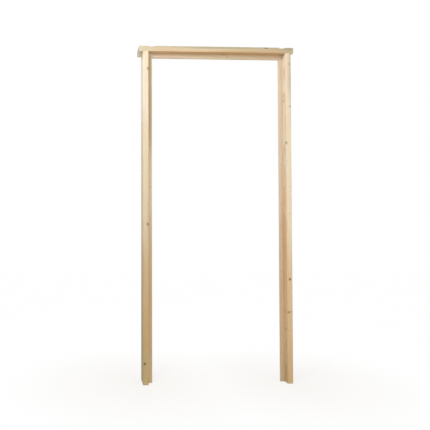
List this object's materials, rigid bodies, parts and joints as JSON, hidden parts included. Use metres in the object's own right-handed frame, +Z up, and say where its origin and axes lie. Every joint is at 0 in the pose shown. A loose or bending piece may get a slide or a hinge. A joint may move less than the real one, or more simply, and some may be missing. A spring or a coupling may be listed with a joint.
{
  "type": "wooden door frame",
  "caption": "Tall plain softwood door frame: two upright boards under a top board with short uneven horns, with slim strips inside as a door stop.",
  "frame": {"origin": "floor level, at the middle of the whole object in plan; the doorway's middle is 4 mm to the +X side, because the left horn is the longer one", "axes": "+Z up the jambs, +X to the right seen from the front, +Y from the front face, where the door leaf goes in, to the back face"},
  "size_m": [0.95, 0.115, 2.047],
  "materials": {
    "pine_head": "planed, unfinished",
    "pine_left_jamb": "planed, unfinished",
    "pine_right_jamb": "planed, unfinished",
    "pine_head_stop": "planed, unfinished",
    "pine_left_stop": "planed, unfinished",
    "pine_right_stop": "planed, unfinished"
  },
  "bodies": {
    "root": {"head": "pine_head", "left_jamb": "pine_left_jamb", "right_jamb": "pine_right_jamb", "head_stop": "pine_head_stop", "left_stop": "pine_left_stop", "right_stop": "pine_right_stop"}
  },
  "joints": []
}
